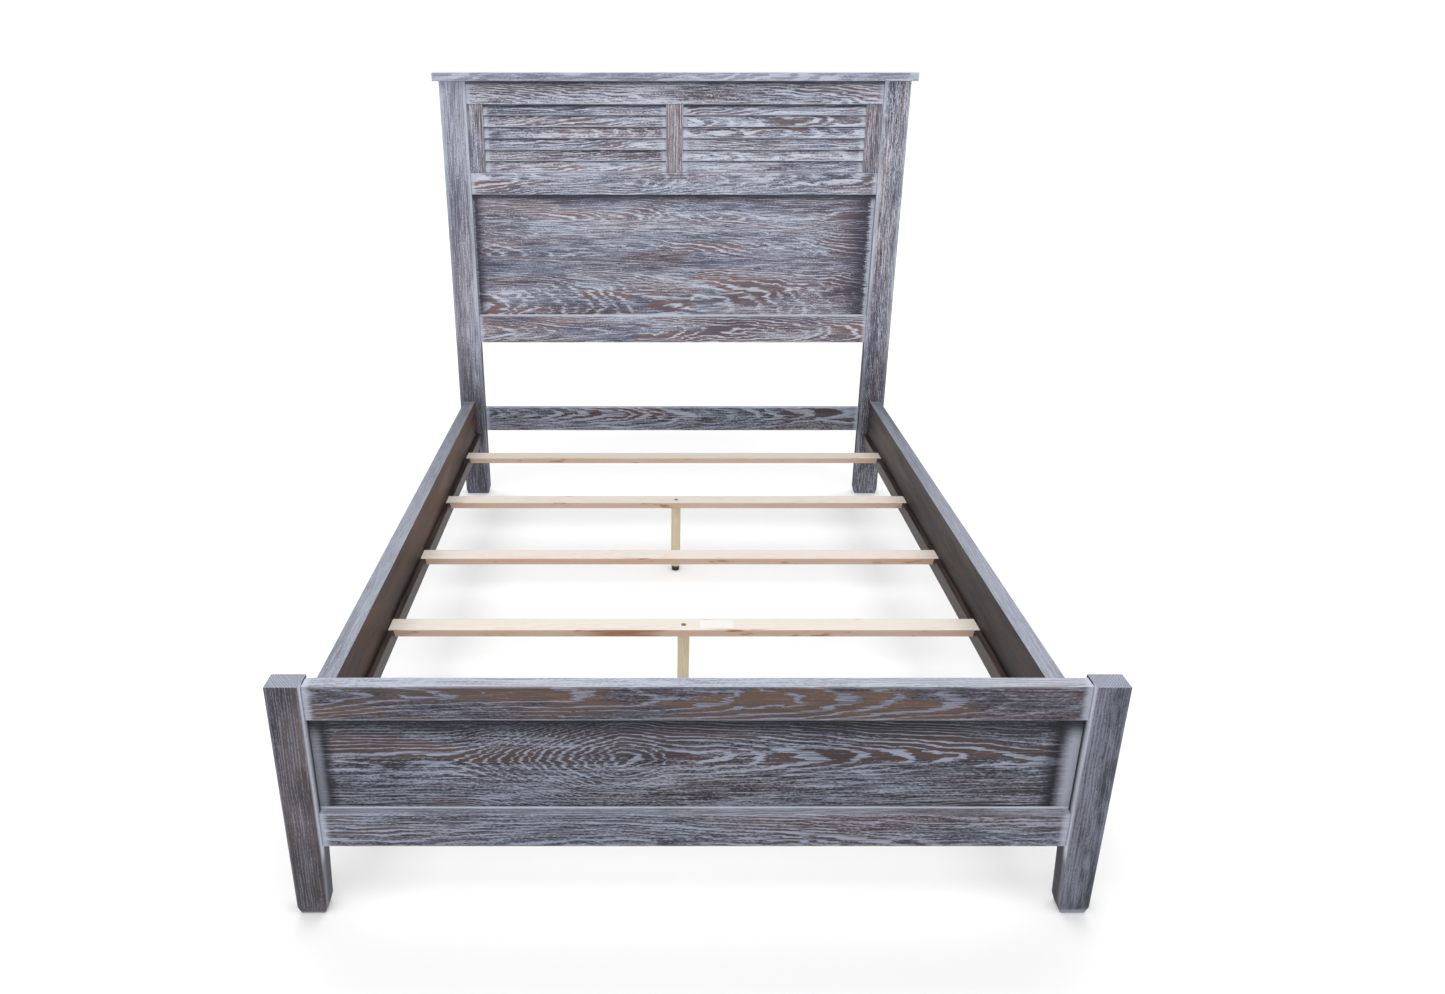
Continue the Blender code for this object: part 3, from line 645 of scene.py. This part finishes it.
def dress_posts():
    """The boards that stand upright: louver stiles and posts."""
    head_joint, foot_joint = (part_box(end + "_bottom_rail")[0].z for end in ("head", "foot"))
    cuts = {
        "louver_stile_left": Cut((0.23, 0.18), **STILE_FINISH, **STRAIGHT),
        "louver_stile_center": Cut((-0.22, 0.19), **STILE_FINISH, **STRAIGHT),
        "louver_stile_right": Cut((-0.24, 0.17), brown=0.8, fineness=1.35, tint=1.0, smudge=0.5,
                                  ends=(0.3, 0.3), **STRAIGHT),
        "head_post_left": Cut((0.25, 0.22), glaze=0.35, smudge=0.2, ends=(0.4, 0.6),
                              edges=(0.6, 0.8), edge_width=0.016, dim=(0.35, 0.75),
                              plain_side=1, joint=head_joint, **HEAD_FINISH, **STRAIGHT),
        "head_post_right": Cut((-0.07, 0.09), 0.0032, (0.01, 0.05), figure=0.07, smudge=0.3,
                               ends=(0.4, 0.5), edges=(0.9, 0.4), edge_width=0.020,
                               dim=(0.35, 0.75), plain_side=-1, joint=head_joint,
                               **dict(HEAD_FINISH, fineness=1.7)),
        "foot_post_left": Cut((0.22, 0.18), tone=WARM_TONE, wash=0.4, veil=0.2, brown=0.7,
                              fineness=1.2, tint=0.6, glaze=0.15, smudge=0.5,
                              ends=(0.3, 0.0), edges=(0.2, 0.8), top=0.9, plain_side=1,
                              joint=foot_joint, **STRAIGHT),
        "foot_post_right": Cut((-0.25, 0.22), tone=FOOT_TONE, wash=0.45, veil=1.6, brown=0.2,
                               fineness=1.7, tint=0.8, glaze=0.55, smudge=0.7,
                               ends=(0.6, 0.0), edges=(0.8, 0.2), top=0.9, plain_side=-1,
                               joint=foot_joint, **STRAIGHT),
    }
    for name, cut in cuts.items():
        dress(name, oak_material(Board(name, "Z"), cut))


def dress_louvers():
    housed = 0.008                      # end of a louver hidden in its stile
    for name in sorted(NODES):
        if name.startswith(("louver_left", "louver_right")):
            pith = (DRAW.uniform(-0.05, 0.05), DRAW.uniform(0.05, 0.12))
            low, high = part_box(name)
            # the dark line at each louver's top is painted shadow under the louver above
            cut = Cut(pith, lines=(high.z - 0.002, None), shadow=0.014, edges=(0.8, 0.0),
                      **HEAD_FINISH, **FLAT_SAWN)
            dress(name, oak_material(Board(name, "X", (high.x - low.x) / 2 - housed), cut))


def dress_side_rails():
    for side, name, plain in ((1, "side_rail_left", STAIN), (-1, "side_rail_right", COOL_STAIN)):
        cut = Cut((0.24, 0.10), tone=WARM_TONE, wash=0.4, veil=0.3, brown=0.3, fineness=1.6,
                  glaze=0.2, top=0.2, dim=(1.9, -0.6), plain_side=side, plain=plain, **STRAIGHT)
        dress(name, oak_material(Board(name, "Y"), cut))


def dress_rest():
    """Ledgers, slats, centre legs and hardware."""
    for name in ("ledger_left", "ledger_right"):
        dress(name, stain_material(Board(name, "Y")))
    for name in ("leg_bolt_2", "leg_bolt_4"):
        dress(name, bolt_material(name))
    steel = plain_material("zinc_steel", STEEL, 0.35, 1.0)
    black = plain_material("black_plastic", BLACK, 0.45)
    for name in sorted(NODES):
        if name.startswith("slat_"):
            stained = SLAT_STAIN if name == "slat_4" else None
            dress(name, pine_material(Board(name, "deck"), *PINE, stained))
        elif name.startswith("support_leg"):
            dress(name, pine_material(Board(name, "Z"), *DOWEL, turned=True))
        elif name.startswith("glide"):
            dress(name, black)
        elif name.startswith(("rail_stud", "rail_nut")):
            dress(name, steel)


# The label on the deck side of slat 4: its span from the middle and from the slat's front edge
LABEL_X = (0.043, 0.130)
LABEL_Y = (0.008, 0.048)
LABEL_CORNER = 0.003
LABEL_THICKNESS = 0.0003
LABEL_LIFT = 0.0001
ROUND = 0.5                 # bevel profile of a circle's arc


def add_label():
    """The blank paper label stuck on one slat."""
    low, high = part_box("slat_4")
    left, right = LABEL_X
    front, back = (low.y + place for place in LABEL_Y)
    level = high.z + LABEL_LIFT
    shape = bmesh.new()
    corners = ((left, front), (right, front), (right, back), (left, back))
    outline = [shape.verts.new((x, y, level)) for x, y in corners]
    shape.faces.new(outline)
    bmesh.ops.bevel(shape, geom=outline, offset=LABEL_CORNER, segments=3, profile=ROUND,
                    affect="VERTICES")
    lid = bmesh.ops.extrude_face_region(shape, geom=list(shape.faces))
    raised = [item for item in lid["geom"] if isinstance(item, bmesh.types.BMVert)]
    bmesh.ops.translate(shape, verts=raised, vec=(0.0, 0.0, LABEL_THICKNESS))
    bmesh.ops.recalc_face_normals(shape, faces=shape.faces)
    label = add_mesh("care_label", shape)
    label.data.materials.append(plain_material("label_paper", PAPER, 0.6))
    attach(label, "slat_4")


def add_object(name, data):
    item = bpy.data.objects.new(name, data)
    bpy.context.scene.collection.objects.link(item)
    return item


def add_mesh(name, shape):
    """A new object from a bmesh, which is freed."""
    mesh = bpy.data.meshes.new(name)
    shape.to_mesh(mesh)
    shape.free()
    return add_object(name, mesh)


# Camera: in front of the footboard, looking down at the bed from eye level
CAMERA_DISTANCE = 1.560      # in front of the foot posts
CAMERA_HEIGHT = 1.669
CAMERA_SIDE = -0.091
CAMERA_PITCH = 20.0
FRAME_WIDTH = 36.0
FOCAL_LENGTH = 24.54
SHIFT = (0.0508, -0.0572)


def add_camera():
    data = bpy.data.cameras.new("camera")
    data.sensor_width = FRAME_WIDTH
    data.lens = FOCAL_LENGTH
    data.shift_x, data.shift_y = SHIFT
    camera = add_object("camera", data)
    camera.location = (CAMERA_SIDE, CAD_LOW[1] - CAMERA_DISTANCE, CAMERA_HEIGHT)
    camera.rotation_euler = (math.radians(90.0 - CAMERA_PITCH), 0.0, 0.0)
    bpy.context.scene.camera = camera


def add_softbox(name, location, target, size, power):
    data = bpy.data.lights.new(name, "AREA")
    data.shape = "RECTANGLE"
    data.size, data.size_y = size
    data.energy = power
    light = add_object(name, data)
    light.location = location
    direction = Vector(target) - Vector(location)
    light.rotation_euler = direction.to_track_quat("-Z", "Y").to_euler()


FLOOR_REACH = 60.0
GLOW_RADII = (2.0, 7.0)      # the floor starts to fade to white, and has faded
GLOW = 0.65
WORLD_LIGHT = 0.50           # against 1.0 where the camera sees the backdrop


def add_floor():
    """A pale floor that fades to white away from the bed."""
    shape = bmesh.new()
    bmesh.ops.create_grid(shape, x_segments=1, y_segments=1, size=FLOOR_REACH)
    floor = add_mesh("floor", shape)
    graph = Graph("pale_floor")
    away = graph.node("ShaderNodeVectorMath", operation="LENGTH")
    graph.put(away.inputs[0], graph.position())
    graph.shader.inputs["Base Color"].default_value = (0.90, 0.90, 0.90, 1.0)
    graph.shader.inputs["Roughness"].default_value = 0.9
    graph.shader.inputs["Specular IOR Level"].default_value = 0.0
    graph.shader.inputs["Emission Color"].default_value = WHITE
    glow = graph.smooth(away.outputs["Value"], *GLOW_RADII, 0.0, GLOW)
    graph.put(graph.shader.inputs["Emission Strength"], glow)
    floor.data.materials.append(graph.material)


def add_world():
    world = bpy.data.worlds.new("studio")
    world.use_nodes = True
    tree = world.node_tree
    background = tree.nodes["Background"]
    background.inputs["Color"].default_value = WHITE
    path = tree.nodes.new("ShaderNodeLightPath")
    level = tree.nodes.new("ShaderNodeMapRange")
    level.inputs["To Min"].default_value = WORLD_LIGHT
    level.inputs["To Max"].default_value = 1.0
    tree.links.new(path.outputs["Is Camera Ray"], level.inputs["Value"])
    tree.links.new(level.outputs[0], background.inputs["Strength"])
    bpy.context.scene.world = world
    bpy.context.scene.view_settings.view_transform = "Standard"


add_camera()
add_floor()
add_world()
add_softbox("overhead", (0.0, 0.5, 5.0), target=(0.0, 0.5, 0.0), size=(7.0, 8.0), power=370.0)
add_softbox("front", (-1.0, -4.5, 3.2), target=(0.0, 1.0, 0.9), size=(4.0, 2.0), power=55.0)
dress_rails()
dress_posts()
dress_louvers()
dress_side_rails()
dress_rest()
add_label()
